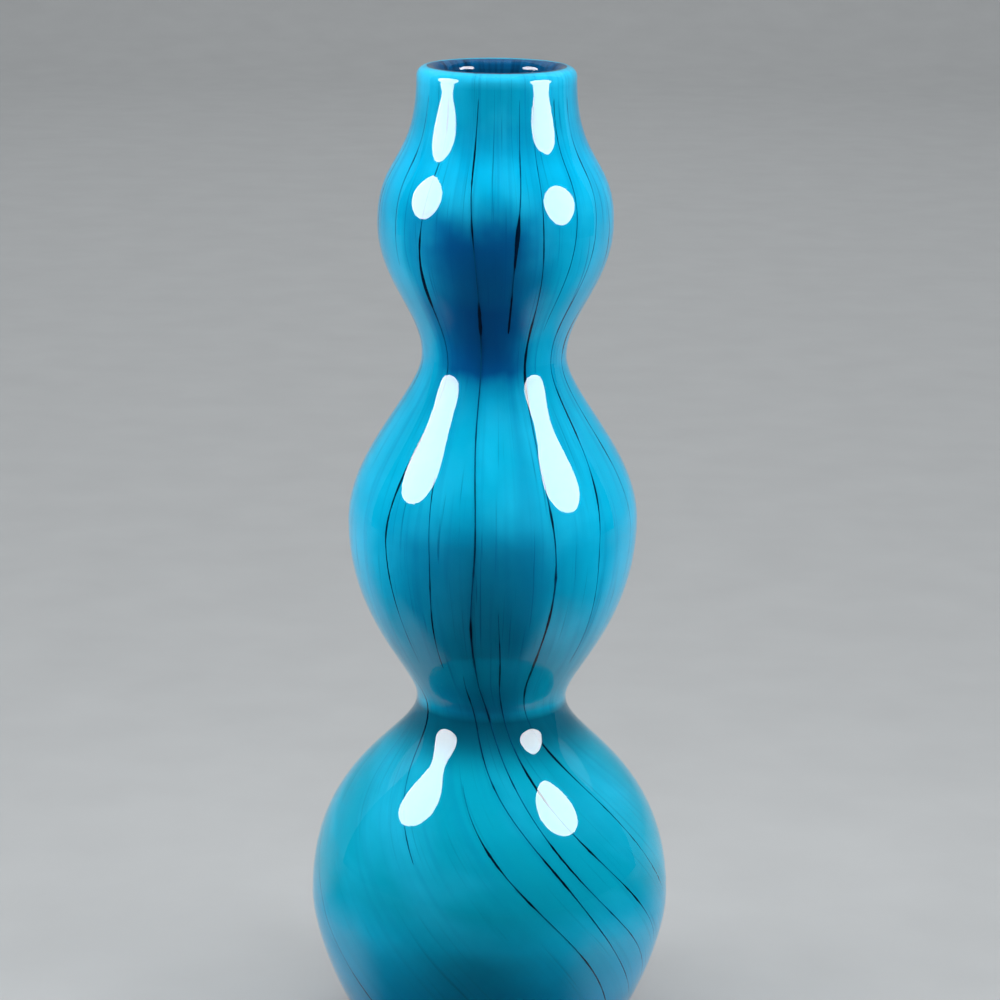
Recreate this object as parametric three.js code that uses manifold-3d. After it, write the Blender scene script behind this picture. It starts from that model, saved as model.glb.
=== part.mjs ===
// Triple gourd vase of hand-blown cased glass. From the inside out it is a first gather of glass,
// a turquoise colour layer, dark threads rolled flush into that layer, and a clear casing that
// turns over the lip and ends below in a ground foot.
// Millimetres, +Z up. The origin is the centre of the foot on the table, and -Y faces the viewer.

import * as THREE from "three";
import { mergeVertices } from "three/addons/utils/BufferGeometryUtils.js";
import Module from "manifold-3d";

// Outer radii, where the wall stands upright
const FOOT_RADIUS = 30;
const LOWER_BULB_RADIUS = 54.6;
const LOWER_WAIST_RADIUS = 22.6;
const MIDDLE_BULB_RADIUS = 43.4;
const UPPER_WAIST_RADIUS = 21.5;
const UPPER_BULB_RADIUS = 34.8;
const LIP_RADIUS = 23.4;

// Rises from each of those places to the next, from the foot up
const FOOT_TO_LOWER_BULB = 50;
const LOWER_BULB_TO_WAIST = 62.5;
const LOWER_WAIST_TO_BULB = 55.5;
const MIDDLE_BULB_TO_WAIST = 50;
const UPPER_WAIST_TO_BULB = 39.5;
const UPPER_BULB_TO_LIP = 42.8;

// Fullness: how long the wall stays upright, as a share of the rise on that side
const LOWER_BULB_FULL_BELOW = 0.26;
const LOWER_BULB_FULL_ABOVE = 0.67;
const LOWER_WAIST_FULL_BELOW = 0.22;
const LOWER_WAIST_FULL_ABOVE = 0.165;
const MIDDLE_BULB_FULL_BELOW = 0.57;
const MIDDLE_BULB_FULL_ABOVE = 0.41;
const UPPER_WAIST_FULL_BELOW = 0.23;
const UPPER_WAIST_FULL_ABOVE = 0.33;
const UPPER_BULB_FULL_BELOW = 0.435;
const UPPER_BULB_FULL_ABOVE = 0.465;
const LIP_FULL_BELOW = 0.6;

// Heel: the wall leaves the foot at this slope and keeps to it for this reach
const HEEL_SLOPE = THREE.MathUtils.degToRad(25);
const HEEL_REACH = 14.5;

// Layers of the wall and of the floor
const CASING_WALL = 2;
const COLOUR_WALL = 1.8;
const GATHER_WALL = 1.6;
const LAYER_GAP = 0.3;
const CASING_FLOOR = 6;
const GATHER_FLOOR = 4;
// Clear glass over the crest of the colour layer, which reaches up into the round lip
const LIP_COVER = 1.2;

// Ground hollow under the foot, where the pontil rod was broken off
const PONTIL_RADIUS = 13;
const PONTIL_DEPTH = 1.5;

// Dark threads: a plain one is this wide, as deep as a share of its width, and tapers to its ends
const THREAD_WIDTH = 1.2;
const THREAD_DEPTH_SHARE = 0.45;
const THREAD_END_SHARE = 0.4;
const THREAD_CLEARANCE = 0.3;
// They wander to and fro by this angle, once in this much height, each a part of a turn after the last
const THREAD_WANDER = THREE.MathUtils.degToRad(1.4);
const THREAD_WANDER_HEIGHT = 70;
const THREAD_WANDER_LAG = 2.4;
// From a little above the lower waist down they turn to the viewer's right, once round in this height
const TWIST_PITCH = 380;
const TWIST_START_ABOVE_WAIST = 12;
const TWIST_EASE = 16;
// Each thread's azimuth in degrees at the lip and at the middle bulb, 0 in front and positive to the
// viewer's right, how wide it is against a plain one, and the places on the outline where it begins
// and ends, where 0 is the foot, 1 the lower bulb, 2 the lower waist and so on up to 6 at the lip
const THREADS = [
  { lip: 26, middle: 25, weight: 1.25, begin: 5.96, end: 1 },
  { lip: 62, middle: 49, weight: 1, begin: 5.96, end: 2.4 },
  { lip: -13, middle: -8, weight: 1.5, begin: 5.96, end: 0.5 },
  { lip: 16, middle: 4, weight: 1.25, begin: 5.96, end: 4.25 },
  { lip: 4, middle: 4, weight: 1.15, begin: 2.8, end: 0.75 },
  { lip: -27, middle: -27, weight: 0.9, begin: 3.4, end: 2.4 },
  { lip: -36, middle: -46, weight: 1.15, begin: 5.96, end: 2.4 },
  { lip: -56, middle: -65, weight: 1.1, begin: 5.96, end: 4.75 },
  { lip: -65, middle: -65, weight: 1, begin: 2.4, end: 1.2 },
  { lip: 47, middle: 33, weight: 1, begin: 5.96, end: 4.25 },
  { lip: 76, middle: 71, weight: 1, begin: 5.5, end: 2.8 },
  { lip: -17, middle: -17, weight: 1.1, begin: 2.4, end: 0.5 },
  { lip: -32, middle: -32, weight: 0.9, begin: 1.6, end: 0.5 },
  { lip: -78, middle: -86, weight: 1, begin: 5.96, end: 3 },
  { lip: 92, middle: 90, weight: 1.1, begin: 5.96, end: 4.25 },
  { lip: 104, middle: 104, weight: 1.1, begin: 3.4, end: 0.5 },
  { lip: 130, middle: 124, weight: 1.25, begin: 5.96, end: 3 },
  { lip: 142, middle: 142, weight: 0.9, begin: 2.4, end: 0.5 },
  { lip: 166, middle: 160, weight: 1.35, begin: 5.96, end: 0.75 },
  { lip: -176, middle: -179, weight: 1, begin: 5, end: 3.2 },
  { lip: -162, middle: -162, weight: 1.15, begin: 2.6, end: 0.5 },
  { lip: -138, middle: -143, weight: 0.9, begin: 5.96, end: 2.4 },
  { lip: -126, middle: -126, weight: 1.15, begin: 3, end: 0.5 },
  { lip: -98, middle: -106, weight: 1, begin: 5.5, end: 4 },
];

// Faces: facets round the vase, steps on each stretch of the outline from the foot up, steps over
// the lip and across the ground hollow
const FACETS = 24;
const OUTLINE_STEPS = [4, 5, 5, 4, 4, 4];
const LIP_STEPS = 4;
const PONTIL_STEPS = 2;
// A station between two rows stays at least this share of a step away from them
const LEAST_SHARE = 0.12;

const PITCH = (2 * Math.PI) / FACETS;
const WALL = CASING_WALL + LAYER_GAP + COLOUR_WALL + LAYER_GAP + GATHER_WALL;
const COLOUR_OUTSIDE = CASING_WALL + LAYER_GAP;
const COLOUR_INSIDE = COLOUR_OUTSIDE + COLOUR_WALL;
const GATHER_OUTSIDE = COLOUR_INSIDE + LAYER_GAP;
const COLOUR_FLOOR_BELOW = CASING_FLOOR + LAYER_GAP;
const COLOUR_FLOOR_ABOVE = COLOUR_FLOOR_BELOW + COLOUR_WALL;
const GATHER_FLOOR_BELOW = COLOUR_FLOOR_ABOVE + LAYER_GAP;
const GATHER_FLOOR_ABOVE = GATHER_FLOOR_BELOW + GATHER_FLOOR;

const wasm = await Module();
wasm.setup();

// A place on the outline above the foot where the wall stands upright, with the rise from the place
// before it and its fullness below and above
function place(radius, rise, below, above) {
  return { radius, rise, below, above };
}

const PLACES = [
  place(LOWER_BULB_RADIUS, FOOT_TO_LOWER_BULB, LOWER_BULB_FULL_BELOW, LOWER_BULB_FULL_ABOVE),
  place(LOWER_WAIST_RADIUS, LOWER_BULB_TO_WAIST, LOWER_WAIST_FULL_BELOW, LOWER_WAIST_FULL_ABOVE),
  place(MIDDLE_BULB_RADIUS, LOWER_WAIST_TO_BULB, MIDDLE_BULB_FULL_BELOW, MIDDLE_BULB_FULL_ABOVE),
  place(UPPER_WAIST_RADIUS, MIDDLE_BULB_TO_WAIST, UPPER_WAIST_FULL_BELOW, UPPER_WAIST_FULL_ABOVE),
  place(UPPER_BULB_RADIUS, UPPER_WAIST_TO_BULB, UPPER_BULB_FULL_BELOW, UPPER_BULB_FULL_ABOVE),
  place(LIP_RADIUS, UPPER_BULB_TO_LIP, LIP_FULL_BELOW, 0),
];

// The outline of the outer glass: one curve up to each place, smooth where two meet
function outlineCurves() {
  const heel = new THREE.Vector2(HEEL_REACH * Math.cos(HEEL_SLOPE), HEEL_REACH * Math.sin(HEEL_SLOPE));
  let start = new THREE.Vector2(FOOT_RADIUS, 0);
  return PLACES.map(({ radius, rise, below }, index) => {
    const leave = index === 0 ? heel : new THREE.Vector2(0, PLACES[index - 1].above * rise);
    const arrive = new THREE.Vector2(0, -below * rise);
    const end = new THREE.Vector2(radius, start.y + rise);
    const curve = new THREE.CubicBezierCurve(start, start.clone().add(leave), end.clone().add(arrive), end);
    start = end;
    return curve;
  });
}

// A row round the vase: its point on the outline, the way into the glass, and its place from 0 to 6
function outlineRow(curve, index, share) {
  const along = curve.getTangent(share);
  return {
    point: curve.getPoint(share),
    inward: new THREE.Vector2(-along.y, along.x),
    place: index + share,
  };
}

function outlineRows(curves) {
  const rows = [outlineRow(curves[0], 0, 0)];
  curves.forEach((curve, index) => {
    const steps = OUTLINE_STEPS[index];
    for (let step = 1; step <= steps; step += 1) {
      rows.push(outlineRow(curve, index, step / steps));
    }
  });
  return rows;
}

const curves = outlineCurves();
const rows = outlineRows(curves);
const lipSpring = rows[rows.length - 1].point.y;
const gatherTop = lipSpring - LAYER_GAP;
const pocketTop = lipSpring + WALL / 2 - LIP_COVER;
const colourTop = pocketTop - LAYER_GAP;
const lowerWaistHeight = curves[1].v3.y;
const middleBulbHeight = curves[2].v3.y;

function depthPoint(row, depth) {
  return row.point.clone().addScaledVector(row.inward, depth);
}

// A layer's face at one depth in the wall, from its floor height up to its top height
function layerFace(depth, floor, top) {
  const points = rows.map((row) => depthPoint(row, depth));
  const first = points.findIndex((point) => point.y > floor);
  const share = (floor - points[first - 1].y) / (points[first].y - points[first - 1].y);
  const face = [points[first - 1].clone().lerp(points[first], share)];
  for (const point of points.slice(first)) {
    face.push(new THREE.Vector2(point.x, Math.min(point.y, top)));
  }
  if (top > lipSpring) {
    face.push(new THREE.Vector2(face[face.length - 1].x, top));
  }
  return face;
}

function revolve(profile) {
  const geometry = new THREE.LatheGeometry(profile, FACETS);
  geometry.rotateX(Math.PI / 2);
  return geometry;
}

// A cup between two depths in the wall, standing on its own floor
function cup(outside, inside, floorBelow, floorAbove, top) {
  return revolve([
    new THREE.Vector2(0, floorBelow),
    ...layerFace(outside, floorBelow, top),
    ...layerFace(inside, floorAbove, top).reverse(),
    new THREE.Vector2(0, floorAbove),
  ]);
}

// The casing: ground hollow, foot, outer wall, round lip over all layers with a pocket for the colour
// layer, inner wall and floor
function casing() {
  const profile = [];
  for (let step = 0; step <= PONTIL_STEPS; step += 1) {
    const share = step / PONTIL_STEPS;
    profile.push(new THREE.Vector2(PONTIL_RADIUS * share, PONTIL_DEPTH * (1 - share * share)));
  }
  profile.push(...rows.map((row) => row.point));
  const bead = WALL / 2;
  for (let step = 1; step <= LIP_STEPS; step += 1) {
    const turn = (Math.PI * step) / LIP_STEPS;
    const across = LIP_RADIUS - bead + bead * Math.cos(turn);
    profile.push(new THREE.Vector2(across, lipSpring + bead * Math.sin(turn)));
  }
  const pocketInside = LIP_RADIUS - GATHER_OUTSIDE;
  profile.push(new THREE.Vector2(pocketInside, lipSpring));
  profile.push(new THREE.Vector2(pocketInside, pocketTop));
  profile.push(...layerFace(CASING_WALL, CASING_FLOOR, pocketTop).reverse());
  profile.push(new THREE.Vector2(0, CASING_FLOOR));
  return revolve(profile);
}

// Skin over a row of sections with as many corners each, closed at both ends
function loft(sections) {
  const corners = sections[0].length;
  const positions = sections.flat().flatMap((corner) => corner.toArray());
  const faces = [];
  for (let step = 0; step < sections.length - 1; step += 1) {
    for (let corner = 0; corner < corners; corner += 1) {
      const a = step * corners + corner;
      const b = step * corners + ((corner + 1) % corners);
      faces.push(a, b, b + corners, a, b + corners, a + corners);
    }
  }
  const last = (sections.length - 1) * corners;
  for (let corner = 1; corner < corners - 1; corner += 1) {
    faces.push(0, corner + 1, corner);
    faces.push(last, last + corner, last + corner + 1);
  }
  const geometry = new THREE.BufferGeometry();
  geometry.setAttribute("position", new THREE.Float32BufferAttribute(positions, 3));
  geometry.setIndex(faces);
  geometry.computeVertexNormals();
  return geometry;
}

function threadAzimuth({ lip, middle }, height, phase) {
  const lean = (lip - middle) / (lipSpring - middleBulbHeight);
  const above = Math.max(0, height - middleBulbHeight);
  const fall = Math.max(0, lowerWaistHeight + TWIST_START_ABOVE_WAIST - height);
  const twist = (2 * Math.PI * fall * fall) / (fall + TWIST_EASE) / TWIST_PITCH;
  const wander = THREAD_WANDER * Math.sin(phase + (2 * Math.PI * height) / THREAD_WANDER_HEIGHT);
  return THREE.MathUtils.degToRad(middle + lean * above) + twist + wander;
}

// Radius of a facet against that of its corners, at an azimuth
function facetShare(azimuth) {
  const offMiddle = THREE.MathUtils.euclideanModulo(azimuth, PITCH) - PITCH / 2;
  return Math.cos(PITCH / 2) / Math.cos(offMiddle);
}

// Radius and height in the wall at a row number, which may lie between two rows
function wallPoint(rowNumber, depth) {
  const below = Math.min(Math.floor(rowNumber), rows.length - 2);
  return depthPoint(rows[below], depth).lerp(depthPoint(rows[below + 1], depth), rowNumber - below);
}

function facetPoint(rowNumber, depth, azimuth) {
  const point = wallPoint(rowNumber, depth);
  const radius = point.x * facetShare(azimuth);
  return new THREE.Vector3(radius * Math.sin(azimuth), -radius * Math.cos(azimuth), point.y);
}

// Number of the row at a place on the outline, which may lie between two rows
function rowNumberAt(place) {
  const above = Math.max(1, rows.findIndex((row) => row.place >= place));
  const below = rows[above - 1].place;
  return above - 1 + (place - below) / (rows[above].place - below);
}

// Stations of a thread from its lower end up: one at either end, one on each row between them, and one
// wherever it passes from a facet to the next
function threadStations(thread, phase) {
  const lower = rowNumberAt(thread.end);
  const upper = rowNumberAt(thread.begin);
  const rowNumbers = [lower];
  for (let rowNumber = Math.ceil(lower + LEAST_SHARE); rowNumber < upper - LEAST_SHARE; rowNumber += 1) {
    rowNumbers.push(rowNumber);
  }
  rowNumbers.push(upper);
  const stations = [];
  for (const rowNumber of rowNumbers) {
    const azimuth = threadAzimuth(thread, wallPoint(rowNumber, COLOUR_OUTSIDE).y, phase);
    const previous = stations[stations.length - 1];
    if (previous) {
      const turn = azimuth - previous.azimuth;
      const edge = PITCH * Math.round((azimuth + previous.azimuth) / 2 / PITCH);
      const share = (edge - previous.azimuth) / turn;
      if (share > LEAST_SHARE && share < 1 - LEAST_SHARE) {
        const crossing = THREE.MathUtils.lerp(previous.rowNumber, rowNumber, share);
        stations.push({ rowNumber: crossing, azimuth: edge });
      }
    }
    stations.push({ rowNumber, azimuth });
  }
  return stations;
}

// The same stations with both ends drawn in by a length
function shortened(stations, length) {
  const drawIn = (end, next) => {
    const from = facetPoint(end.rowNumber, COLOUR_OUTSIDE, end.azimuth);
    const share = length / from.distanceTo(facetPoint(next.rowNumber, COLOUR_OUTSIDE, next.azimuth));
    return {
      rowNumber: THREE.MathUtils.lerp(end.rowNumber, next.rowNumber, share),
      azimuth: THREE.MathUtils.lerp(end.azimuth, next.azimuth, share),
    };
  };
  const last = stations.length - 1;
  return [
    drawIn(stations[0], stations[1]),
    ...stations.slice(1, last),
    drawIn(stations[last], stations[last - 1]),
  ];
}

// A keel-shaped strip along a thread's stations: flat outside, pointed inside. The allowance makes
// it larger all round, and lift carries its sides on over the colour layer.
function keelStrip(stations, width, allowance, lift) {
  const last = stations.length - 1;
  const sections = stations.map(({ rowNumber, azimuth }, index) => {
    const before = stations[Math.max(index - 1, 0)];
    const after = stations[Math.min(index + 1, last)];
    const point = wallPoint(rowNumber, COLOUR_OUTSIDE);
    const rise = wallPoint(after.rowNumber, COLOUR_OUTSIDE).distanceTo(
      wallPoint(before.rowNumber, COLOUR_OUTSIDE),
    );
    const slant = Math.hypot(1, (point.x * (after.azimuth - before.azimuth)) / rise);
    const share = (rowNumber - stations[0].rowNumber) / (stations[last].rowNumber - stations[0].rowNumber);
    const fullness = THREAD_END_SHARE + (1 - THREAD_END_SHARE) * Math.sin(Math.PI * share);
    const flank = Math.hypot(0.5, THREAD_DEPTH_SHARE);
    const half = (width * fullness) / 2 + (allowance * flank) / THREAD_DEPTH_SHARE;
    const depth = width * fullness * THREAD_DEPTH_SHARE + (allowance * flank) / 0.5;
    const sweep = (half * (1 + lift / depth) * slant) / point.x;
    return [
      facetPoint(rowNumber, COLOUR_OUTSIDE - lift, azimuth + sweep),
      facetPoint(rowNumber, COLOUR_OUTSIDE + depth, azimuth),
      facetPoint(rowNumber, COLOUR_OUTSIDE - lift, azimuth - sweep),
    ];
  });
  return loft(sections);
}

function solidOf(geometry) {
  const bare = geometry.clone();
  bare.deleteAttribute("normal");
  bare.deleteAttribute("uv");
  const merged = mergeVertices(bare);
  return new wasm.Manifold(
    new wasm.Mesh({
      numProp: 3,
      vertProperties: merged.attributes.position.array,
      triVerts: new Uint32Array(merged.index.array),
    }),
  );
}

function geometryOf(solid) {
  const mesh = solid.getMesh();
  const geometry = new THREE.BufferGeometry();
  geometry.setAttribute("position", new THREE.BufferAttribute(mesh.vertProperties, 3));
  geometry.setIndex(new THREE.BufferAttribute(mesh.triVerts, 1));
  geometry.computeVertexNormals();
  return geometry;
}

// The colour layer with a channel for each thread, a clearance larger than the thread all round
function colourLayer(courses) {
  const body = cup(COLOUR_OUTSIDE, COLOUR_INSIDE, COLOUR_FLOOR_BELOW, COLOUR_FLOOR_ABOVE, colourTop);
  const channels = courses.map((stations, index) =>
    keelStrip(stations, THREAD_WIDTH * THREADS[index].weight, THREAD_CLEARANCE, LAYER_GAP),
  );
  return geometryOf(channels.reduce((solid, channel) => solid.subtract(solidOf(channel)), solidOf(body)));
}

const vase = new THREE.Group();

function addPiece(name, geometry, material) {
  const mesh = new THREE.Mesh(geometry, material);
  mesh.name = name;
  vase.add(mesh);
}

const clearGlass = new THREE.MeshStandardMaterial({ color: 0xdff4f8, roughness: 0.03, metalness: 0 });
clearGlass.transparent = true;
clearGlass.opacity = 0.25;
const turquoiseGlass = new THREE.MeshStandardMaterial({ color: 0x0aa0cf, roughness: 0.15, metalness: 0 });
const navyGlass = new THREE.MeshStandardMaterial({ color: 0x06283f, roughness: 0.2, metalness: 0 });
const blueGlass = new THREE.MeshStandardMaterial({ color: 0x0b6f9c, roughness: 0.05, metalness: 0 });

const courses = THREADS.map((thread, index) => threadStations(thread, index * THREAD_WANDER_LAG));
const gather = cup(GATHER_OUTSIDE, WALL, GATHER_FLOOR_BELOW, GATHER_FLOOR_ABOVE, gatherTop);
addPiece("inner_gather", gather, blueGlass);
addPiece("colour_layer", colourLayer(courses), turquoiseGlass);
courses.forEach((stations, index) => {
  const name = `dark_thread_${String(index + 1).padStart(2, "0")}`;
  const width = THREAD_WIDTH * THREADS[index].weight;
  const thread = keelStrip(shortened(stations, THREAD_CLEARANCE), width, 0, 0);
  addPiece(name, thread, navyGlass);
});
addPiece("clear_casing", casing(), clearGlass);

export default vase;
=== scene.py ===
"""Triple gourd vase of hand-blown cased glass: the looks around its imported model.

A turquoise colour layer with dark threads lies between a first gather of glass and a clear casing.
Metres, +Z up, with the origin at the centre of the foot and -Y towards the viewer.
"""

import math

import bpy
from bpy.props import FloatProperty, FloatVectorProperty, IntProperty, PointerProperty
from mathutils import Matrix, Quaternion, Vector


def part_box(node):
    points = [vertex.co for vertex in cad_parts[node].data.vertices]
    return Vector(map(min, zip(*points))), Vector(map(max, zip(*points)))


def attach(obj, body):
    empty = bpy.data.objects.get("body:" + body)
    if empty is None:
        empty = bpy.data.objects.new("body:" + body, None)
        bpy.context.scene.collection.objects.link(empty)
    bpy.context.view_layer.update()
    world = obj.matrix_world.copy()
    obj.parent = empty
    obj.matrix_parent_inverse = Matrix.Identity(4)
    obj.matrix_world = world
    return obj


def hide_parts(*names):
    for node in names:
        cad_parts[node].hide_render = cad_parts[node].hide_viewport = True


bl_info = {
    "name": "Triple Gourd Vase",
    "version": (1, 0, 0),
    "blender": (4, 5, 0),
    "location": "View3D > Sidebar > Vase",
    "description": "Makes a blown vase of cased glass and the studio that it stands in",
    "category": "Add Mesh",
}

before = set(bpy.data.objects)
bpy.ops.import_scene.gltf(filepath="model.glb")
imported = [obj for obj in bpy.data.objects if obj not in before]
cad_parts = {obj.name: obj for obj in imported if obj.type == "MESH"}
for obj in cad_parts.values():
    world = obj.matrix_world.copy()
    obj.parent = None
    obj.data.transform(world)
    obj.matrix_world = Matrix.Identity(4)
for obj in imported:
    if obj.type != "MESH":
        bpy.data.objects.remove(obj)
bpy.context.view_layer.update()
VASE_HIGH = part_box("clear_casing")[1]

MM = 0.001
FULL_TURN = 2 * math.pi
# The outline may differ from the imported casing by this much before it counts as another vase
OUTLINE_TOLERANCE = 0.2 * MM
# Points nearer than this are one
WELD = 0.01 * MM
# Edges that turn by more than this stay sharp
SHARP_EDGE = math.radians(40)

# Place of the lip on the outline, where 0 is the foot, 1 the lower bulb, 2 the lower waist and so on
LIP_PLACE = 6

# Each thread's azimuth in degrees at the lip and at the middle bulb, 0 in front and positive to the
# viewer's right, how wide it is against a plain one, and the places on the outline where it begins
# and ends
THREADS = (
    (26, 25, 1.25, 5.96, 1),
    (62, 49, 1, 5.96, 2.4),
    (-13, -8, 1.5, 5.96, 0.5),
    (16, 4, 1.25, 5.96, 4.25),
    (4, 4, 1.15, 2.8, 0.75),
    (-27, -27, 0.9, 3.4, 2.4),
    (-36, -46, 1.15, 5.96, 2.4),
    (-56, -65, 1.1, 5.96, 4.75),
    (-65, -65, 1, 2.4, 1.2),
    (47, 33, 1, 5.96, 4.25),
    (76, 71, 1, 5.5, 2.8),
    (-17, -17, 1.1, 2.4, 0.5),
    (-32, -32, 0.9, 1.6, 0.5),
    (-78, -86, 1, 5.96, 3),
    (92, 90, 1.1, 5.96, 4.25),
    (104, 104, 1.1, 3.4, 0.5),
    (130, 124, 1.25, 5.96, 3),
    (142, 142, 0.9, 2.4, 0.5),
    (166, 160, 1.35, 5.96, 0.75),
    (-176, -179, 1, 5, 3.2),
    (-162, -162, 1.15, 2.6, 0.5),
    (-138, -143, 0.9, 5.96, 2.4),
    (-126, -126, 1.15, 3, 0.5),
    (-98, -106, 1, 5.5, 4),
)

# Patterns of the glass. A pair says where a change begins and where it is complete, and a height in
# the colour layer is a share of the vase's height.

# The body's colours from the foot to the lip. The foot's is lighter as painted bounce light from the floor,
# the shoulder's as painted light from above, and the lip's crest takes the cloud colour as a painted
# highlight
BODY_STOPS = (
    (0.1, "foot_painted_bounce_light"),
    (0.2, "lower_turquoise"),
    (0.33, "lower_turquoise"),
    (0.5, "middle_turquoise"),
    (0.85, "upper_turquoise"),
    (0.91, "shoulder_painted_light"),
    (0.95, "neck_turquoise"),
    (0.985, "neck_turquoise"),
    (0.998, "cloud_and_crest_highlight"),
)
CLOUD_WIDTH = 26 * MM
CLOUD_LEVELS = (0.45, 0.75)
CLOUD_MOST = 0.5
# Width, length, noise levels, share at most and colour of each kind of streak
STREAKS = (
    (7 * MM, 90 * MM, (0.5, 0.75), 0.28, "streak"),
    (2.2 * MM, 60 * MM, (0.56, 0.78), 0.32, "streak"),
    (0.9 * MM, 34 * MM, (0.63, 0.74), 0.5, "hair"),
)
STREAK_SWIRL = 0.4
# Streaks are fainter on the lower bulb, where the glass was blown wide
STREAK_HEIGHTS = (0.3, 0.45)
STREAK_LEAST = 0.5
# Painted shade where the wall's way out rises less, as the light from above reaches it less, and the heights
# where this sets in and where it ends on the neck
SHADE_SLOPES = (0.5, -0.06)
SHADE_HEIGHTS = (0.25, 0.85)
SHADE_NECK = (0.96, 0.89)
# Painted shade at the waists, where the bulb above shades the wall, below the middle of the upper bulb
WAIST_SHADE_RADII = (30 * MM, 19 * MM)
WAIST_SHADE_HEIGHTS = (0.86, 0.78)
WAIST_SHADE_MOST = 0.35
# The painted shade lies in front, a little to the viewer's left, and opposite, on the back
SHADE_PATCH_WAY = (0.17, 0.985, 0)
SHADE_PATCH_FACINGS = (0.66, 0.985)
SHADE_PATCH_LEAST = 0.2
# How much the clouds stir the painted shade's upper edge, and how much of that its sides
STIR = 0.7
SHADE_PATCH_STIR = -0.35
# Painted shade round the top of the lower bulb, where the middle bulb hangs over it
COLLAR_SHADE_RADII = (33 * MM, 22 * MM)
COLLAR_SHADE_HEIGHTS = (0.372, 0.362)
COLLAR_SHADE_MOST = 0.85
# Noise levels from a thread's thin to its thick places, and what changes its colour between them
THICK_LEVELS = (0.44, 0.72)
MOTTLE_WIDTH = 14 * MM
THIN_LEVELS = (0.0, 0.32)
GATHER_STREAK_WIDTH = 4 * MM
GATHER_STREAK_LENGTH = 70 * MM
GATHER_LEVELS = (0.42, 0.7)
CORD_WIDTH = 9 * MM
CORD_SWIRL = 1.5
# Height in metres over which the foot goes from ground to polished
GROUND_HEIGHTS = (0.2 * MM, 0.6 * MM)
GROUND_ROUGHNESS = 0.35
POLISHED_ROUGHNESS = 0.03
GATHER_ROUGHNESS = 0.06
GLASS_IOR = 1.5
# The casing is fused on, so the faces under it have no shine of their own
FUSED = {"Roughness": 0.5, "Specular IOR Level": 0.0}
MATT = {"Roughness": 0.9, "Specular IOR Level": 0.2}
FIBRE_WIDTH = 40 * MM
FIBRE_SHADES = (0.94, 1.06)

# The floor is a disc, with one round face at its centre, that bends up to a wall
FLOOR_CENTRE = 0.02
FLOOR_RADIUS = 2.6
FLOOR_BEND = 0.8
FLOOR_DROP = 0.1 * MM
FLOOR_SIDES = 96
BEND_STEPS = 12
WALL_TOP = 2.2

SCREEN_SIDE = 1.3
SCREEN_FRONT = -1.3
SCREEN_BACK = 0.45
SCREEN_TOP = 5.0
# Angles of the cloth in degrees from the front
CLOTH_SPAN = 130
CLOTH_EDGE = 112
CLOTH_FADE = 26
CLOTH_STEPS = 65
CLOTH_HEIGHT = 0.2 * MM
# Radius in metres, the felt's left and right edge there in degrees, and how dark it stays from these
# edges to the outer ones
CLOTH_ROWS = (
    (0.05, -66, 46, 0.0),
    (0.12, -72, 50, 0.0),
    (0.16, -78, 54, 0.35),
    (0.2, -85, 58, 0.6),
    (0.25, -92, 64, 0.85),
    (0.32, -104, 90, 1.0),
    (0.45, -110, 100, 0.9),
    (0.7, -110, 105, 0.4),
    (1.9, -110, 108, 0.0),
)

# How far a lamp's shine lies in front of it
SHINE_OFFSET = 5 * MM
BOUNCE_HEIGHT = 1 * MM
SENSOR_WIDTH_MM = 36


# Properties


def linear(code):
    """A linear colour with alpha 1 from an sRGB hex code such as 0AA6DC."""
    shares = [int(code[i : i + 2], 16) / 255 for i in (0, 2, 4)]
    return [s / 12.92 if s <= 0.04045 else ((s + 0.055) / 1.055) ** 2.4 for s in shares] + [1.0]


def length(name, description, default):
    """A property for a length."""
    return FloatProperty(
        name=name, description=description, default=default, min=0, unit="LENGTH", precision=5
    )


def share(name, description, default):
    """A property for a share of another size."""
    return FloatProperty(
        name=name, description=description, default=default, min=0, max=1, subtype="FACTOR"
    )


def upright(name, side, default):
    """A property for how long the wall stays upright below or above a bulb or waist."""
    return share(name, f"How long the wall stays upright, of the rise {side}", default)


def angle(name, description, degrees):
    """A property for an angle."""
    radians = math.radians(degrees)
    return FloatProperty(name=name, description=description, default=radians, subtype="ANGLE")


def brightness(name, description, default):
    """A property for the brightness of a light, where 1 is white."""
    return FloatProperty(name=name, description=description, default=default, min=0)


def count(name, description, default, least):
    """A property for a number of faces."""
    return IntProperty(name=name, description=description, default=default, min=least)


def colour(name, description, code):
    """A property for a colour."""
    return FloatVectorProperty(
        name=name, description=description, default=linear(code), size=4, min=0, max=1, subtype="COLOR"
    )


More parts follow.
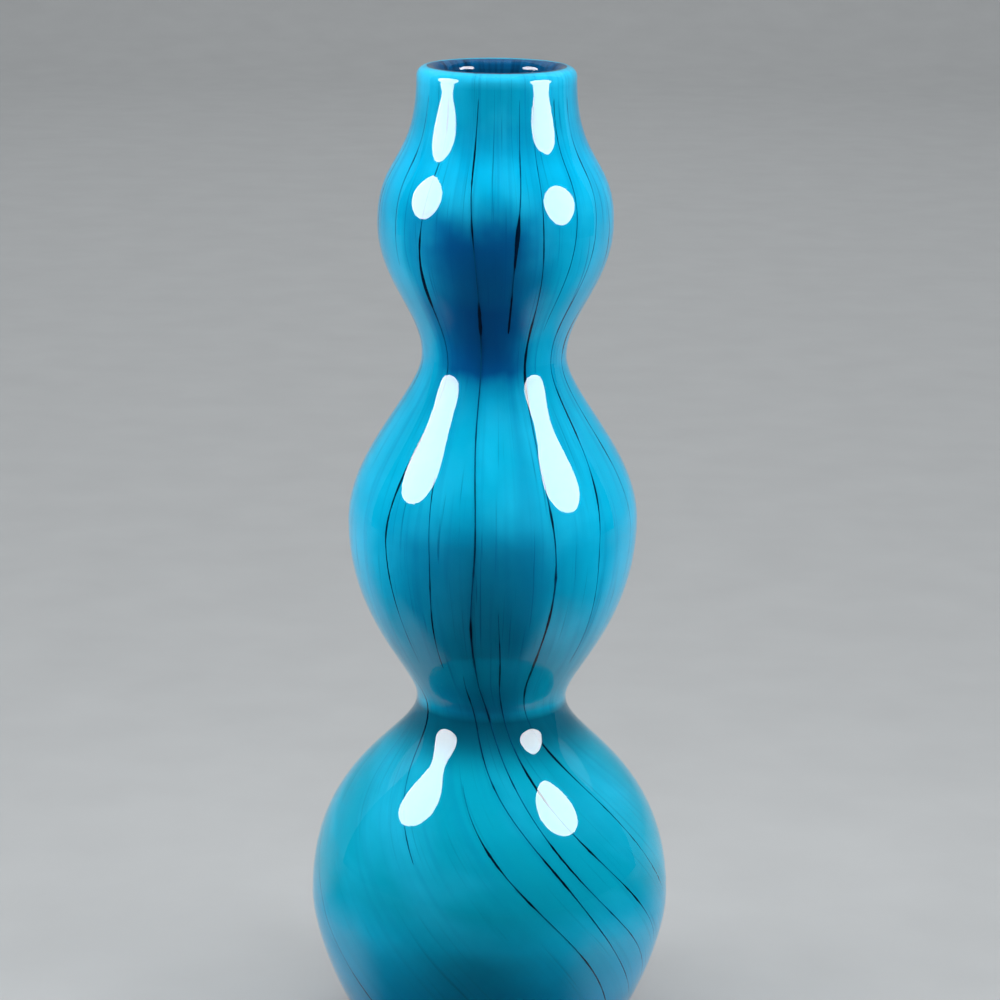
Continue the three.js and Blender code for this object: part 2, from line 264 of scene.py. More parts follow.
class VaseOutline(bpy.types.PropertyGroup):
    """The outline of the outer glass and the layers of its wall."""

    foot_radius: length("Foot Radius", "Edge of the flat foot", 30 * MM)
    lower_bulb_radius: length("Lower Bulb Radius", "Widest place of the lower bulb", VASE_HIGH.x)
    lower_waist_radius: length("Lower Waist Radius", "Narrowest place above the lower bulb", 22.6 * MM)
    middle_bulb_radius: length("Middle Bulb Radius", "Widest place of the middle bulb", 43.4 * MM)
    upper_waist_radius: length("Upper Waist Radius", "Narrowest place above the middle bulb", 21.5 * MM)
    upper_bulb_radius: length("Upper Bulb Radius", "Widest place of the upper bulb", 34.8 * MM)
    lip_radius: length("Lip Radius", "Outer edge of the lip", 23.4 * MM)
    foot_to_lower_bulb: length("Foot to Lower Bulb", "Rise from the foot", 50 * MM)
    lower_bulb_to_waist: length("Lower Bulb to Waist", "Rise from the lower bulb", 62.5 * MM)
    lower_waist_to_bulb: length("Lower Waist to Bulb", "Rise from the lower waist", 55.5 * MM)
    middle_bulb_to_waist: length("Middle Bulb to Waist", "Rise from the middle bulb", 50 * MM)
    upper_waist_to_bulb: length("Upper Waist to Bulb", "Rise from the upper waist", 39.5 * MM)
    upper_bulb_to_lip: length("Upper Bulb to Lip", "Rise from the upper bulb", 42.8 * MM)
    lower_bulb_below: upright("Lower Bulb Below", "below", 0.26)
    lower_bulb_above: upright("Lower Bulb Above", "above", 0.67)
    lower_waist_below: upright("Lower Waist Below", "below", 0.22)
    lower_waist_above: upright("Lower Waist Above", "above", 0.165)
    middle_bulb_below: upright("Middle Bulb Below", "below", 0.57)
    middle_bulb_above: upright("Middle Bulb Above", "above", 0.41)
    upper_waist_below: upright("Upper Waist Below", "below", 0.23)
    upper_waist_above: upright("Upper Waist Above", "above", 0.33)
    upper_bulb_below: upright("Upper Bulb Below", "below", 0.435)
    upper_bulb_above: upright("Upper Bulb Above", "above", 0.465)
    lip_below: upright("Lip Below", "below", 0.6)
    heel_slope: angle("Heel Slope", "Slope of the wall where it leaves the foot", 25)
    heel_reach: length("Heel Reach", "How far the wall keeps to that slope", 14.5 * MM)
    wall: length("Wall", "Thickness of all layers together", 6 * MM)
    casing_wall: length("Casing Wall", "Thickness of the clear casing", 2 * MM)
    lip_cover: length("Lip Cover", "Thickness of the clear casing where it turns over the lip", 0.9 * MM)
    lip_cover_place: FloatProperty(
        name="Lip Cover Place", description="Place on the outline where the casing thins", default=5.55
    )
    gather_depth: length("Gather Depth", "Depth of the first gather's outer face", 4.25 * MM)
    fuse: length("Fuse", "How far fused layers reach into each other, so that no air is between", 0.05 * MM)
    casing_floor: length("Casing Floor", "Thickness of the casing under the colour layer", 6 * MM)
    gather_floor_below: length("Gather Floor Below", "Height of the first gather's underside", 8.4 * MM)
    gather_floor_above: length("Gather Floor Above", "Height of the hollow's floor", 12.4 * MM)
    pontil_radius: length("Pontil Radius", "Edge of the ground hollow under the foot", 13 * MM)
    pontil_depth: length("Pontil Depth", "Depth of the ground hollow under the foot", 1.5 * MM)
    wobble: length("Wobble", "How far the hand-blown wall strays from round", 0.3 * MM)
    wobble_length: length("Wobble Length", "How far apart the wall's waves are", 48 * MM)
    reference_radius: length("Reference Radius", "Radius at which patterns have their stated width", 40 * MM)
    segments: count("Segments", "Faces round the vase", 144, 24)
    steps: count("Steps", "Faces on each curve of the outline", 22, 6)
    lip_steps: count("Lip Steps", "Faces over each half of the lip", 8, 3)


class VaseThreads(bpy.types.PropertyGroup):
    """The dark threads and the twist that they share with the streaks of the colour layer."""

    width: length("Width", "Width of a plain thread", 1.2 * MM)
    thickness: length("Thickness", "Thickness of a plain thread", 0.4 * MM)
    station: share("Station", "Distance of a thread's stations, as a share of a curve of the outline", 0.04)
    end_share: share("End Share", "Width next to a thread's ends, of its width at the middle", 0.4)
    thin_share: share("Thin Share", "Width of the thin places, of the width of the thick ones", 0.2)
    thick_length: length("Thick Length", "How far apart the thick places of a thread are", 18 * MM)
    wander: angle("Wander", "How far a thread strays to and fro", 1.4)
    wander_height: length("Wander Height", "Height in which it strays once to and fro", 70 * MM)
    wander_lag: FloatProperty(
        name="Wander Lag", description="From a thread's phase to the next one's", default=2.4, subtype="ANGLE"
    )
    twist_pitch: length("Twist Pitch", "Height in which the threads turn once round", 380 * MM)
    twist_above_waist: length("Twist Start", "How far above the lower waist the twist begins", 12 * MM)
    twist_ease: length("Twist Ease", "Height in which the twist takes hold", 16 * MM)
    sides: count("Sides", "Faces round a thread", 8, 6)


class VaseColours(bpy.types.PropertyGroup):
    """Colours of the glasses."""

    # Lighter as painted bounce light from the floor, below the lower bulb
    foot_painted_bounce_light: colour("Foot Turquoise", "Azure turquoise below the lower bulb", "0EB4E2")
    lower_turquoise: colour("Lower Turquoise", "Teal turquoise of the lower bulb", "0595AE")
    middle_turquoise: colour("Middle Turquoise", "Azure turquoise of the middle bulb", "069FC0")
    upper_turquoise: colour("Upper Turquoise", "Azure turquoise of the upper bulb", "069AB9")
    # Lighter as painted light from above on the upper shoulder
    shoulder_painted_light: colour("Shoulder Turquoise", "Lighter turquoise of the upper shoulder", "06A4CA")
    neck_turquoise: colour("Neck Turquoise", "Deeper turquoise of the neck", "068FAF")
    # Milky places, and a painted highlight on the lip's crest
    cloud_and_crest_highlight: colour("Cloud", "Milky places", "2AB8DC")
    streak: colour("Streak", "Broad darker streaks", "045F8C")
    hair: colour("Hair", "Finest dark streaks", "022E4C")
    # Painted shade at the waists and where the wall faces down
    painted_shade: colour("Underside", "Thicker colour at the waists and where the wall faces down", "034A80")
    # Painted shade round the top of the lower bulb, under the middle bulb
    collar_shade: colour("Collar", "Deep teal where the lower bulb is drawn in to its waist", "03485E")
    thread: colour("Thread", "Dark threads where they are thick", "02162A")
    thread_thin: colour("Thin Thread", "Dark threads where they are drawn thin", "03486C")
    # Partly the blue of the glass, partly painted shade of the hollow inside the mouth
    gather_with_painted_shade: colour("Gather", "First gather, seen inside the mouth", "064A74")
    gather_deep: colour("Deep Gather", "Streaks of the first gather", "032848")
    clear: colour("Clear", "Clear casing", "F4FCFD")
    cord: colour("Cord", "Faint cords in the clear casing", "E2F5F8")


class VaseStudio(bpy.types.PropertyGroup):
    """Camera, lamps and floor."""

    target_height: length("Target Height", "Height on the axis that the camera aims at", 173.3 * MM)
    target_right: length("Target Right", "How far the aim lies to the right of the axis", 2.1 * MM)
    distance: length("Distance", "Distance from the camera to its target", 960 * MM)
    elevation: angle("Elevation", "How far above level the camera stands", 14)
    roll: angle("Roll", "How far the camera leans to its left", 0.56)
    lens: FloatProperty(
        name="Lens", description="Focal length in millimetres", default=115.2, min=1, unit="CAMERA"
    )
    floor: colour("Floor", "Pale floor", "8E9091")
    felt: colour("Felt", "Dark screen and cloth in front, seen only by the glass", "101213")
    world: colour("World", "Light from all round", "B8BCC0")
    world_strength: brightness("World Strength", "Brightness of the light from all round", 0.85)
    left_azimuth: angle("Left Azimuth", "Direction of the left lamp from the front", -72)
    left_elevation: angle("Left Elevation", "Height of the left lamp as an angle", 33.5)
    right_azimuth: angle("Right Azimuth", "Direction of the right lamp from the front", 64)
    right_elevation: angle("Right Elevation", "Height of the right lamp as an angle", 31.5)
    lamp_distance: length("Lamp Distance", "Distance of the lamps from the middle bulb", 0.315)
    lamp_width: length("Lamp Width", "Width of a lamp's face", 0.16)
    lamp_height: length("Lamp Height", "Height of a lamp's face", 0.18)
    lamp_radiance: brightness("Lamp Radiance", "Brightness of a lamp's face", 11)
    shine_radiance: brightness("Shine Radiance", "Brightness of a lamp's face in the glass", 16)
    bounce_distance: length("Bounce Distance", "Distance of the light that comes up beside the vase", 0.27)
    bounce_width: length("Bounce Width", "Width of the light that comes up beside the vase", 0.25)
    bounce_radiance: brightness("Bounce Radiance", "Brightness of the light beside the vase", 5.4)
    top_height: length("Top Lamp Height", "Height of the wide lamp over the vase", 2.3)
    top_front: length("Top Lamp Front", "How far in front of the vase the wide lamp hangs", 0.3)
    top_width: length("Top Lamp Width", "Width of the wide lamp over the vase", 2.4)
    top_radiance: brightness("Top Lamp Radiance", "Brightness of the wide lamp over the vase", 4.9)
    back_height: length("Back Lamp Height", "Height of the wide lamp over the background", 2.0)
    back_behind: length("Back Lamp Behind", "How far behind the vase that lamp hangs", 2.4)
    back_width: length("Back Lamp Width", "Width of the wide lamp over the background", 2.6)
    back_radiance: brightness("Back Lamp Radiance", "Brightness of the lamp over the background", 2.1)


GROUPS = {
    "vase_outline": VaseOutline,
    "vase_threads": VaseThreads,
    "vase_colours": VaseColours,
    "vase_studio": VaseStudio,
}


# Outline


def sum_of_rises(size):
    """Height at which the round lip springs from the wall."""
    lower = size.foot_to_lower_bulb + size.lower_bulb_to_waist
    middle = size.lower_waist_to_bulb + size.middle_bulb_to_waist
    return lower + middle + size.upper_waist_to_bulb + size.upper_bulb_to_lip


def outline_curves(size):
    """The outline as six cubic curves of four points, (radius, height), from the foot to the lip."""
    rows = (
        (size.lower_bulb_radius, size.foot_to_lower_bulb, size.lower_bulb_below, size.lower_bulb_above),
        (size.lower_waist_radius, size.lower_bulb_to_waist, size.lower_waist_below, size.lower_waist_above),
        (size.middle_bulb_radius, size.lower_waist_to_bulb, size.middle_bulb_below, size.middle_bulb_above),
        (size.upper_waist_radius, size.middle_bulb_to_waist, size.upper_waist_below, size.upper_waist_above),
        (size.upper_bulb_radius, size.upper_waist_to_bulb, size.upper_bulb_below, size.upper_bulb_above),
        (size.lip_radius, size.upper_bulb_to_lip, size.lip_below, 0),
    )
    start = Vector((size.foot_radius, 0))
    leave = size.heel_reach * Vector((math.cos(size.heel_slope), math.sin(size.heel_slope)))
    curves = []
    for index, (radius, rise, below, _) in enumerate(rows):
        if index:
            leave = Vector((0, rows[index - 1][3] * rise))
        end = Vector((radius, start.y + rise))
        curves.append((start, start + leave, end - Vector((0, below * rise)), end))
        start = end
    top = start.y + size.wall / 2
    if abs(top - VASE_HIGH.z) > OUTLINE_TOLERANCE:
        raise ValueError(f"the outline is {top:.4f} m high and the packed vase {VASE_HIGH.z:.4f} m")
    return curves


def wall_point(curves, place, depth):
    """The point at a depth in the wall, and the way out of the glass there."""
    index = min(int(place), len(curves) - 1)
    a, b, c, d = curves[index]
    s = place - index
    r = 1 - s
    point = r**3 * a + 3 * r * r * s * b + 3 * r * s * s * c + s**3 * d
    along = (r * r * (b - a) + 2 * r * s * (c - b) + s * s * (d - c)).normalized()
    outward = Vector((along.y, -along.x))
    return point - depth * outward, outward


def casing_depth(size, place):
    """How thick the casing is at a place on the outline: it thins towards the lip."""
    near = max(0, (place - size.lip_cover_place) / (LIP_PLACE - size.lip_cover_place))
    return size.casing_wall + (size.lip_cover - size.casing_wall) * near * near * (3 - 2 * near)


def layer_face(curves, steps, depth_at, floor, top):
    """Points of a layer's face, at a depth that goes by the place, from its floor height to its top."""
    places = [step / steps for step in range(steps * len(curves) + 1)]
    points = [wall_point(curves, place, depth_at(place))[0] for place in places]
    first = next(index for index, point in enumerate(points) if point.y > floor)
    below, above = points[first - 1], points[first]
    face = [below.lerp(above, (floor - below.y) / (above.y - below.y))] + points[first:]
    face[-1] = Vector((face[-1].x, top))
    return face


def half_round(size, cover):
    """Points over the lip from its outer to its inner side, under a cover of glass."""
    centre = Vector((size.lip_radius - size.wall / 2, sum_of_rises(size)))
    radius = size.wall / 2 - cover
    turns = [math.pi * step / (2 * size.lip_steps) for step in range(2 * size.lip_steps + 1)]
    return [centre + radius * Vector((math.cos(turn), math.sin(turn))) for turn in turns]


def closed_profile(outer, crest, inner):
    """A layer's profile, from the axis up its outer face, over its crest and down its inner face."""
    return [Vector((0, outer[0].y))] + outer + crest + inner[::-1] + [Vector((0, inner[0].y))]


def colour_profile(size):
    """The colour layer, whose crest is the outer half of the lip."""
    curves = outline_curves(size)
    spring = curves[-1][3].y
    floor = size.casing_floor - size.fuse
    outer = layer_face(curves, size.steps, lambda place: casing_depth(size, place) - size.fuse, floor, spring)
    inside = size.gather_depth + size.fuse
    inner = layer_face(curves, size.steps, lambda place: inside, size.gather_floor_below + size.fuse, spring)
    crest = half_round(size, size.lip_cover - size.fuse)[1 : size.lip_steps + 1]
    return closed_profile(outer, crest, inner)


def gather_profile(size):
    """The first gather, whose crest is the inner half of the lip."""
    curves = outline_curves(size)
    spring = curves[-1][3].y
    outer = layer_face(curves, size.steps, lambda place: size.gather_depth, size.gather_floor_below, spring)
    top = spring + size.fuse
    inner = layer_face(curves, size.steps, lambda place: size.wall, size.gather_floor_above, top)
    crest = half_round(size, size.lip_cover - size.fuse)[size.lip_steps :]
    return closed_profile(outer, crest, inner)


def casing_profile(size):
    """The casing: ground hollow, foot, outer face, round lip, inner face and inner floor."""
    curves = outline_curves(size)
    spring = curves[-1][3].y
    shares = [step / size.steps for step in range(size.steps + 1)]
    hollow = [Vector((size.pontil_radius * s, size.pontil_depth * (1 - s * s))) for s in shares]
    outer = layer_face(curves, size.steps, lambda place: 0, 0, spring)
    inner = layer_face(curves, size.steps, lambda place: casing_depth(size, place), size.casing_floor, spring)
    lip = half_round(size, 0)[1:]
    under = half_round(size, size.lip_cover)[:0:-1]
    return hollow + outer + lip + under + inner[::-1] + [Vector((0, size.casing_floor))]


def thread_path(curves, size, threads, index):
    """A thread's stations from its lower end up, with its half width and half thickness as vectors."""
    lip, middle, weight, begin, end = THREADS[index]
    waist_height = curves[1][3].y
    middle_height = curves[2][3].y
    lean = math.radians(lip - middle) / (curves[-1][3].y - middle_height)
    steps = math.ceil((begin - end) / threads.station)
    rows = []
    for step in range(steps + 1):
        place = end + (begin - end) * step / steps
        point, outward = wall_point(curves, place, casing_depth(size, place))
        fall = max(0, waist_height + threads.twist_above_waist - point.y)
        phase = index * threads.wander_lag + FULL_TURN * point.y / threads.wander_height
        azimuth = math.radians(middle) + lean * max(0, point.y - middle_height)
        azimuth += FULL_TURN * fall * fall / (fall + threads.twist_ease) / threads.twist_pitch
        azimuth += threads.wander * math.sin(phase)
        turn = Quaternion((0, 0, 1), azimuth)
        rows.append((turn @ Vector((0, -point.x, point.y)), turn @ Vector((0, -outward.x, outward.y))))
    path = []
    for step, (point, outward) in enumerate(rows):
        along = (rows[min(step + 1, steps)][0] - rows[max(step - 1, 0)][0]).normalized()
        full = threads.end_share + (1 - threads.end_share) * math.sin(math.pi * step / steps)
        if step in (0, steps):
            full = 0
        across = outward.cross(along).normalized() * full * weight * threads.width / 2
        path.append((point, across, outward * full * weight * threads.thickness / 2))
    return path


# Nodes


def add(tree, kind, inputs=(), **settings):
    """Adds a node with its settings and links. Its inputs come in order, or in a dict by name or number.
    Each is a value, another node's output, or a node, which stands for its first output."""
    node = tree.nodes.new(kind)
    for name, value in settings.items():
        setattr(node, name, value)
    for socket, value in inputs.items() if isinstance(inputs, dict) else enumerate(inputs):
        if isinstance(value, bpy.types.Node):
            value = value.outputs[0]
        if isinstance(value, bpy.types.NodeSocket):
            tree.links.new(value, node.inputs[socket])
        else:
            node.inputs[socket].default_value = value
    return node


# Geometry trees

GEOMETRY, MATERIAL = "NodeSocketGeometry", "NodeSocketMaterial"
VECTOR, FLOAT, INT = "NodeSocketVector", "NodeSocketFloat", "NodeSocketInt"
WOBBLE_INPUTS = {"Wobble": FLOAT, "Wobble Length": FLOAT, "Reference Radius": FLOAT}


def new_tree(name, inputs, result):
    """A geometry tree with its inputs, one of which is also its result, and its input node's outputs."""
    tree = bpy.data.node_groups.new(name, "GeometryNodeTree")
    for label, kind in inputs.items():
        tree.interface.new_socket(label, in_out="INPUT", socket_type=kind)
    tree.interface.new_socket(result, in_out="OUTPUT", socket_type=inputs[result])
    return tree, add(tree, "NodeGroupInput").outputs


def tree_named(name, make):
    """The node tree of a name, which is made once."""
    return bpy.data.node_groups.get(name) or make(name)


def wobble_tree(name):
    """Moves a point to or from the axis, as the wall of a hand-blown vase strays from round."""
    tree, given = new_tree(name, {"Position": VECTOR, **WOBBLE_INPUTS}, "Position")
    position, radius = given["Position"], given["Reference Radius"]
    flat = add(tree, "ShaderNodeVectorMath", (position, (1, 1, 0)), operation="MULTIPLY")
    way = add(tree, "ShaderNodeVectorMath", (flat,), operation="NORMALIZE")
    ring = add(tree, "ShaderNodeVectorMath", {0: way, "Scale": radius}, operation="SCALE")
    rise = add(tree, "ShaderNodeVectorMath", (position, (0, 0, 1)), operation="MULTIPLY")
    spot = add(tree, "ShaderNodeVectorMath", (ring, rise), operation="ADD")
    scale = add(tree, "ShaderNodeMath", (1.0, given["Wobble Length"]), operation="DIVIDE")
    waves = add(tree, "ShaderNodeTexNoise", {"Vector": spot, "Scale": scale, "Detail": 0.0})
    swing = add(tree, "ShaderNodeMath", (waves, 2.0, -1.0), operation="MULTIPLY_ADD")
    most = add(tree, "ShaderNodeMath", (given["Wobble"], radius), operation="DIVIDE")
    stretch = add(tree, "ShaderNodeMath", (swing, most, 1.0), operation="MULTIPLY_ADD")
    factor = add(tree, "ShaderNodeCombineXYZ", (stretch, stretch, 1.0))
    moved = add(tree, "ShaderNodeVectorMath", (position, factor), operation="MULTIPLY")
    add(tree, "NodeGroupOutput", {"Position": moved})
    return tree


def wrapped_grid(tree, line, around):
    """A grid to wrap round a line, with the point of the line and the turn that belong to each of its
    points."""
    rows = add(tree, "GeometryNodeAttributeDomainSize", (line,)).outputs["Point Count"]
    columns = add(tree, "ShaderNodeMath", (around, 1.0), operation="ADD")
    grid = add(tree, "GeometryNodeMeshGrid", {"Vertices X": columns, "Vertices Y": rows})
    index = add(tree, "GeometryNodeInputIndex")
    row = add(tree, "ShaderNodeMath", (index, rows), operation="FLOORED_MODULO")
    ratio = add(tree, "ShaderNodeMath", (index, rows), operation="DIVIDE")
    column = add(tree, "ShaderNodeMath", (ratio,), operation="FLOOR")
    part = add(tree, "ShaderNodeMath", (column, around), operation="DIVIDE")
    turn = add(tree, "ShaderNodeMath", (part, FULL_TURN), operation="MULTIPLY")
    return grid, row, turn


def settle(tree, given, mesh, position):
    """Moves a mesh's points to their places on the wall, which strays from round."""
    wobble = {label: given[label] for label in WOBBLE_INPUTS}
    strayed = add(
        tree,
        "GeometryNodeGroup",
        {"Position": position, **wobble},
        node_tree=tree_named("Hand Wobble", wobble_tree),
    )
    return add(tree, "GeometryNodeSetPosition", {"Geometry": mesh, "Position": strayed})


def finish_tree(tree, mesh, material):
    """Ends a tree: one welded, smooth, realized mesh with its material."""
    welded = add(tree, "GeometryNodeMergeByDistance", {"Geometry": mesh, "Distance": WELD})
    smooth = add(tree, "GeometryNodeSetShadeSmooth", (welded,))
    real = add(tree, "GeometryNodeRealizeInstances", (smooth,))
    coated = add(tree, "GeometryNodeSetMaterial", {0: real, "Material": material})
    add(tree, "NodeGroupOutput", {"Geometry": coated})
    return tree


def turned_glass_tree(name):
    """Turns a profile, drawn in front of the axis, round the axis, and stores where each point lay before
    the glass was twisted, for the streaks."""
    inputs = {
        "Geometry": GEOMETRY,
        "Segments": INT,
        "Twist Pitch": FLOAT,
        "Twist Start": FLOAT,
        "Twist Ease": FLOAT,
        "Material": MATERIAL,
        **WOBBLE_INPUTS,
    }
    tree, given = new_tree(name, inputs, "Geometry")
    line = given["Geometry"]
    grid, row, azimuth = wrapped_grid(tree, line, given["Segments"])
    here = add(tree, "GeometryNodeInputPosition")
    sample = {"Geometry": line, "Value": here, "Index": row}
    point = add(tree, "GeometryNodeSampleIndex", sample, data_type="FLOAT_VECTOR")
    round_axis = {"Vector": point, "Angle": azimuth}
    turned = add(tree, "ShaderNodeVectorRotate", round_axis, rotation_type="Z_AXIS")
    wall = settle(tree, given, grid, turned)

    height = add(tree, "ShaderNodeSeparateXYZ", (point,)).outputs["Z"]
    drop = add(tree, "ShaderNodeMath", (given["Twist Start"], height), operation="SUBTRACT")
    fall = add(tree, "ShaderNodeMath", (drop, 0.0), operation="MAXIMUM")
    square = add(tree, "ShaderNodeMath", (fall, fall), operation="MULTIPLY")
    eased = add(tree, "ShaderNodeMath", (fall, given["Twist Ease"]), operation="ADD")
    wound = add(tree, "ShaderNodeMath", (square, eased), operation="DIVIDE")
    turns = add(tree, "ShaderNodeMath", (wound, given["Twist Pitch"]), operation="DIVIDE")
    before = add(tree, "ShaderNodeMath", (turns, -FULL_TURN, azimuth), operation="MULTIPLY_ADD")
    front = add(tree, "ShaderNodeMath", (given["Reference Radius"], -1.0), operation="MULTIPLY")
    straight = add(tree, "ShaderNodeCombineXYZ", {"Y": front, "Z": height})
    untwisted = {"Vector": straight, "Angle": before}
    drawn = add(tree, "ShaderNodeVectorRotate", untwisted, rotation_type="Z_AXIS")
    marked = add(
        tree,
        "GeometryNodeStoreNamedAttribute",
        {"Geometry": wall, "Name": "drawn", "Value": drawn},
        data_type="FLOAT_VECTOR",
        domain="POINT",
    )
    return finish_tree(tree, marked, given["Material"])


def drawn_thread_tree(name):
    """Sweeps a flat round section along a thread's stations, thick and thin by turns, and stores how thick
    it is."""
    inputs = {
        "Geometry": GEOMETRY,
        "Sides": INT,
        "Thin Share": FLOAT,
        "Thick Length": FLOAT,
        "Material": MATERIAL,
        **WOBBLE_INPUTS,
    }
    tree, given = new_tree(name, inputs, "Geometry")
    line = given["Geometry"]
    grid, row, turn = wrapped_grid(tree, line, given["Sides"])
    fields = [add(tree, "GeometryNodeInputPosition")]
    for label in ("across", "outward"):
        named = {"Name": label}
        fields.append(add(tree, "GeometryNodeInputNamedAttribute", named, data_type="FLOAT_VECTOR"))
    samples = [{"Geometry": line, "Value": field, "Index": row} for field in fields]
    point, across, outward = (
        add(tree, "GeometryNodeSampleIndex", sample, data_type="FLOAT_VECTOR") for sample in samples
    )
    scale = add(tree, "ShaderNodeMath", (1.0, given["Thick Length"]), operation="DIVIDE")
    waves = add(tree, "ShaderNodeTexNoise", {"Vector": point, "Scale": scale, "Detail": 4.0})
    levels = (waves, *THICK_LEVELS, given["Thin Share"], 1.0)
    full = add(tree, "ShaderNodeMapRange", levels, interpolation_type="SMOOTHSTEP")
    cosine = add(tree, "ShaderNodeMath", (turn,), operation="COSINE")
    sine = add(tree, "ShaderNodeMath", (turn,), operation="SINE")
    width = add(tree, "ShaderNodeMath", (cosine, full), operation="MULTIPLY")
    sideways = add(tree, "ShaderNodeVectorMath", {0: across, "Scale": width}, operation="SCALE")
    outwards = add(tree, "ShaderNodeVectorMath", {0: outward, "Scale": sine}, operation="SCALE")
    rim = add(tree, "ShaderNodeVectorMath", (sideways, outwards), operation="ADD")
    swept = add(tree, "ShaderNodeVectorMath", (point, rim), operation="ADD")
    marked = add(
        tree,
        "GeometryNodeStoreNamedAttribute",
        {"Geometry": grid, "Name": "thick", "Value": full},
        data_type="FLOAT",
        domain="POINT",
    )
    return finish_tree(tree, settle(tree, given, marked, swept), given["Material"])


# Pieces


def linked(name, data):
    """A new object in the scene."""
    item = bpy.data.objects.new(name, data)
    bpy.context.scene.collection.objects.link(item)
    return item


def line_object(name, points, vectors=None):
    """An object whose mesh is a line through points, with named vectors on them."""
    mesh = bpy.data.meshes.new(name)
    mesh.from_pydata(points, [(i, i + 1) for i in range(len(points) - 1)], [])
    for label, values in (vectors or {}).items():
        attribute = mesh.attributes.new(label, "FLOAT_VECTOR", "POINT")
        attribute.data.foreach_set("vector", [number for value in values for number in value])
    return linked(name, mesh)


def bake_tree(piece, tree, size, values):
    """Runs a tree on a piece, with its inputs and the wobble set, and leaves the result as its mesh."""
    modifier = piece.modifiers.new(tree.name, "NODES")
    modifier.node_group = tree
    sockets = {item.name: item.identifier for item in tree.interface.items_tree if item.in_out == "INPUT"}
    wobble = (size.wobble, size.wobble_length, size.reference_radius)
    for label, value in {**values, **dict(zip(WOBBLE_INPUTS, wobble))}.items():
        modifier[sockets[label]] = value
    depsgraph = bpy.context.evaluated_depsgraph_get()
    mesh = bpy.data.meshes.new_from_object(
        piece.evaluated_get(depsgraph), preserve_all_data_layers=True, depsgraph=depsgraph
    )
    line = piece.data
    piece.modifiers.clear()
    piece.data = mesh
    bpy.data.meshes.remove(line)
    mesh.name = piece.name
    if len(mesh.polygons) == 0:
        raise RuntimeError(f"{piece.name} came out empty")


def turned_piece(scene, name, profile, material):
    """A piece of glass turned from its profile."""
    size, threads = scene.vase_outline, scene.vase_threads
    piece = line_object(name, [(0, -point.x, point.y) for point in profile])
    values = {
        "Segments": size.segments,
        "Twist Pitch": threads.twist_pitch,
        "Twist Start": size.foot_to_lower_bulb + size.lower_bulb_to_waist + threads.twist_above_waist,
        "Twist Ease": threads.twist_ease,
        "Material": material,
    }
    bake_tree(piece, tree_named("Turned Glass", turned_glass_tree), size, values)
    piece.data.set_sharp_from_angle(angle=SHARP_EDGE)
    return piece


def own(piece, slot, *nodes):
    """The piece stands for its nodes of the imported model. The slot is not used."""
    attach(piece, "root")
    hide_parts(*nodes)


# Materials

# A MapRange node's inputs in order: its value, where the change begins and ends, and what it goes from and to

# Sockets of a Mix node between two colours
MIX_SHARE, MIX_FROM, MIX_TO, MIX_RESULT = 0, 6, 7, 2


def new_material(name):
    """An empty node material and its tree."""
    material = bpy.data.materials.new(name)
    material.use_nodes = True
    material.node_tree.nodes.clear()
    return material, material.node_tree


def shade(tree, looks):
    """Ends a material's tree with a principled shader of these looks."""
    shader = add(tree, "ShaderNodeBsdfPrincipled", looks)
    add(tree, "ShaderNodeOutputMaterial", {"Surface": shader})


def streaks(tree, width, run, detail, swirl):
    """Noise drawn out to streaks of a width and a length, along the way the glass was drawn."""
    drawn = add(tree, "ShaderNodeAttribute", attribute_name="drawn").outputs["Vector"]
    squeezed = add(tree, "ShaderNodeMapping", {"Vector": drawn, "Scale": (1 / width, 1 / width, 1 / run)})
    waves = {"Vector": squeezed, "Scale": 1.0, "Detail": detail, "Distortion": swirl}
    return add(tree, "ShaderNodeTexNoise", waves)


def clear_casing_glass(colours):
    """Fire-polished clear soda-lime glass: mirror-smooth, with faint cords where the melt was stirred, and
    ground dull on the flat of the foot."""
    material, tree = new_material("clear_casing_glass")
    spot = add(tree, "ShaderNodeTexCoord").outputs["Object"]
    waves = {"Vector": spot, "Scale": 1 / CORD_WIDTH, "Detail": 2.0, "Distortion": CORD_SWIRL}
    cords = add(tree, "ShaderNodeTexNoise", waves)
    tones = {MIX_SHARE: cords, MIX_FROM: colours.clear, MIX_TO: colours.cord}
    tint = add(tree, "ShaderNodeMix", tones, data_type="RGBA").outputs[MIX_RESULT]
    height = add(tree, "ShaderNodeSeparateXYZ", (spot,)).outputs["Z"]
    ground = (height, *GROUND_HEIGHTS, GROUND_ROUGHNESS, POLISHED_ROUGHNESS)
    looks = {
        "Base Color": tint,
        "Roughness": add(tree, "ShaderNodeMapRange", ground),
        "Transmission Weight": 1.0,
        "IOR": GLASS_IOR,
    }
    shade(tree, looks)
    return material


def body_colour(tree, part, colours):
    """The turquoise that goes with each height, with painted light at the foot, the upper shoulder and the
    lip's crest.
    """
    ramp = add(tree, "ShaderNodeValToRGB", (part,))
    stops = ramp.color_ramp.elements
    for height, name in BODY_STOPS:
        stops.new(height).color = getattr(colours, name)
    # The ramp's own black and white ends
    stops.remove(stops[0])
    stops.remove(stops[len(stops) - 1])
    return ramp


